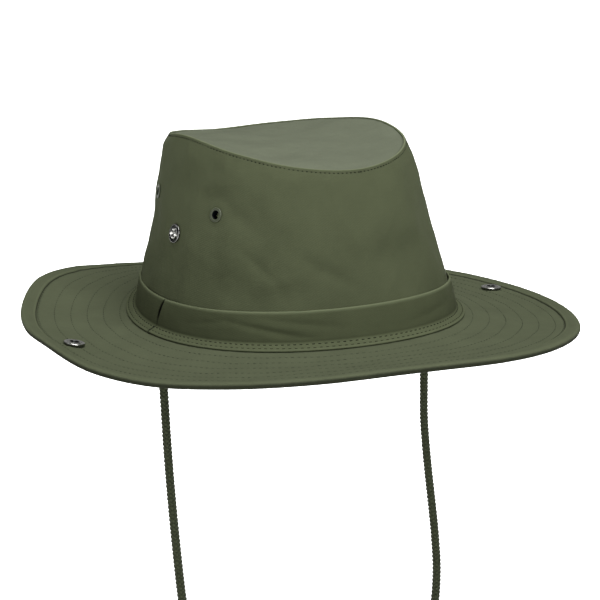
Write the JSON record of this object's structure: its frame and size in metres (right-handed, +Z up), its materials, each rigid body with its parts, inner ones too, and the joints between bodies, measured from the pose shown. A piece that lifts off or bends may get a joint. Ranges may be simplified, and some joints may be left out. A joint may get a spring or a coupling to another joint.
{
  "type": "bush hat",
  "caption": "Wide-brimmed cloth bush hat: tall oval crown with a folded band, soft wavy brim with a padded rim, brim and crown snaps, vent eyelets and a braided chin cord.",
  "frame": {"origin": "middle of the head opening, level with the foot of the hatband", "axes": "+Z up along the wearer's head, -Y to the front of the hat, +X to the wearer's left"},
  "size_m": [0.3082, 0.3422, 0.3644],
  "materials": {
    "crown_top_cloth": "matte",
    "crown_side_cloth": "matte",
    "hatband_cloth": "matte",
    "brim_cloth": "matte",
    "snap_metal": "polished",
    "eyelet_paint": "semi-gloss",
    "cord_braid": "matte"
  },
  "bodies": {
    "root": {"crown_top": "crown_top_cloth", "crown_side": "crown_side_cloth", "hatband": "hatband_cloth", "brim": "brim_cloth", "brim_snap_right": "snap_metal", "brim_snap_left": "snap_metal", "crown_snap_right": "snap_metal", "crown_snap_left": "snap_metal", "eyelet_right_front": "eyelet_paint", "eyelet_right_back": "eyelet_paint", "eyelet_left_front": "eyelet_paint", "eyelet_left_back": "eyelet_paint", "chin_cord": "cord_braid"}
  },
  "joints": []
}
